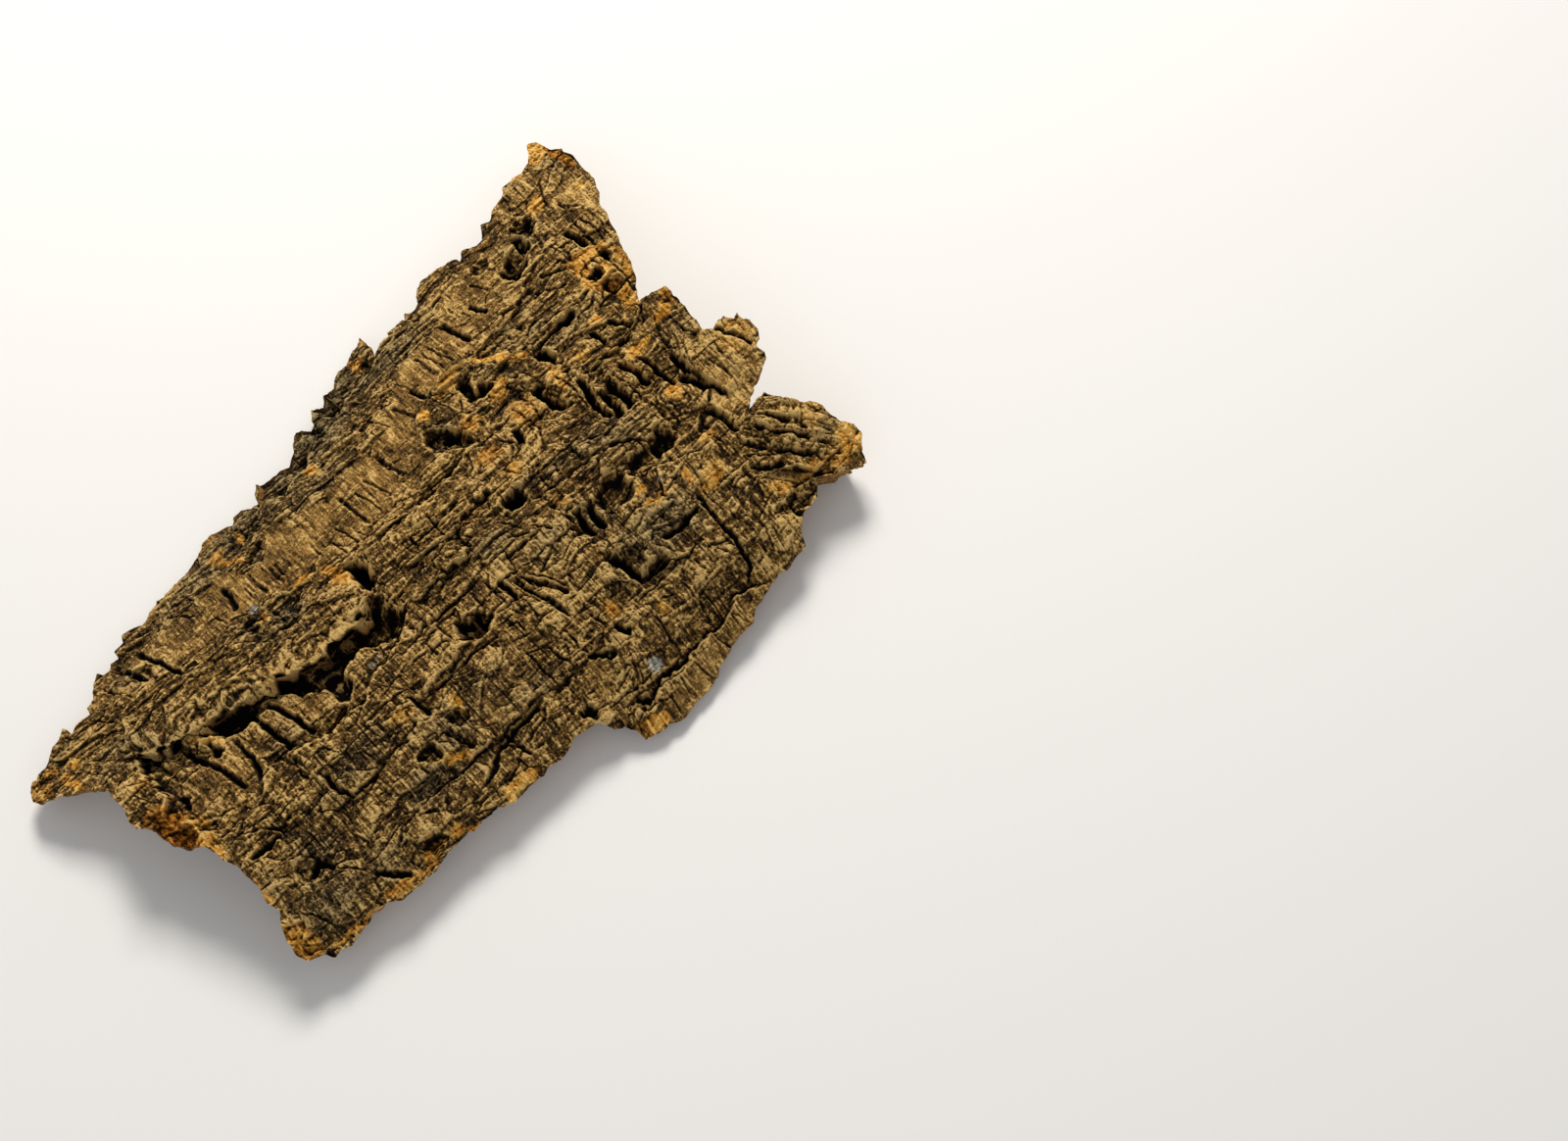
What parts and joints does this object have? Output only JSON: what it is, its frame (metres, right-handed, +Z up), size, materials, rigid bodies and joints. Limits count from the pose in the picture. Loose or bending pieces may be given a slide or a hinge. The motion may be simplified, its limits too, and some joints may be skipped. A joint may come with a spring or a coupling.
{
  "type": "cork bark slab",
  "caption": "Arched slab of rough natural cork bark with layered crust, deep fissures, broken ends and a smooth hollow underside.",
  "frame": {"origin": "on the ground under the middle of the slab's box", "axes": "+X along the grain and the slab's length, +Z up out of the crust side, the hollow side faces down"},
  "size_m": [0.4408, 0.3026, 0.0657],
  "materials": {
    "cork_bark": "dry rough cork bark, dull"
  },
  "bodies": {
    "root": {"cork_bark_slab": "cork_bark"}
  },
  "joints": []
}
